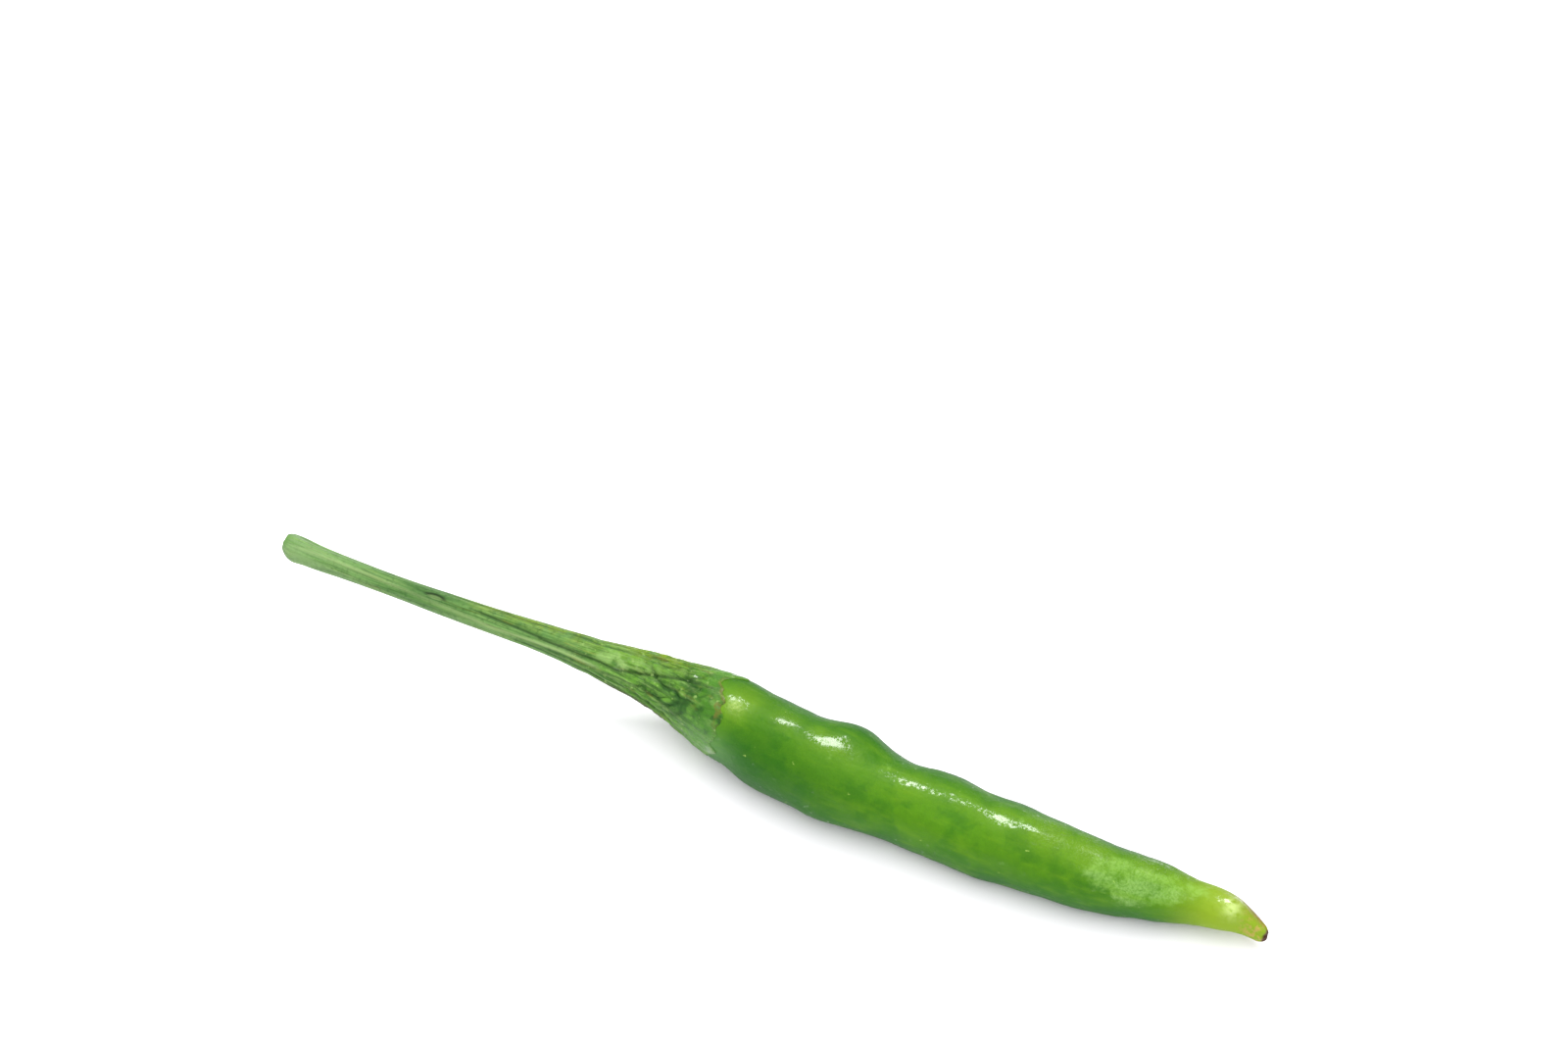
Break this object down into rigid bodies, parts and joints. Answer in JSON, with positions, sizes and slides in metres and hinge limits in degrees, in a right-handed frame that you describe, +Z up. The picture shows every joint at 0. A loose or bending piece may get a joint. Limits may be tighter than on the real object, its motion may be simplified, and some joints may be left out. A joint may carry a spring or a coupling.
{
  "type": "green chilli pepper",
  "caption": "Fresh green chilli pepper lying on its side: a glossy, slightly wavy tapering pod, a ribbed calyx over its shoulder and a long thin stem.",
  "frame": {"origin": "on the surface that the chilli lies on, under the middle of its bounding box", "axes": "+X along the chilli from the stem's end to the pod's tip; +Z up from the surface; +Y the left side when looking from the stem to the tip"},
  "size_m": [0.108, 0.0116, 0.0121],
  "materials": {
    "pod_skin": "smooth waxy vegetable skin, wet-looking gloss, yellow-green towards the tip",
    "calyx_skin": "matte leathery plant skin with fine lengthwise wrinkles and a thin brown edge",
    "stem_skin": "matte fibrous plant skin with fine lengthwise ridges, dry and brown at the broken end"
  },
  "bodies": {
    "root": {"pod": "pod_skin", "calyx": "calyx_skin", "stem": "stem_skin"}
  },
  "joints": []
}
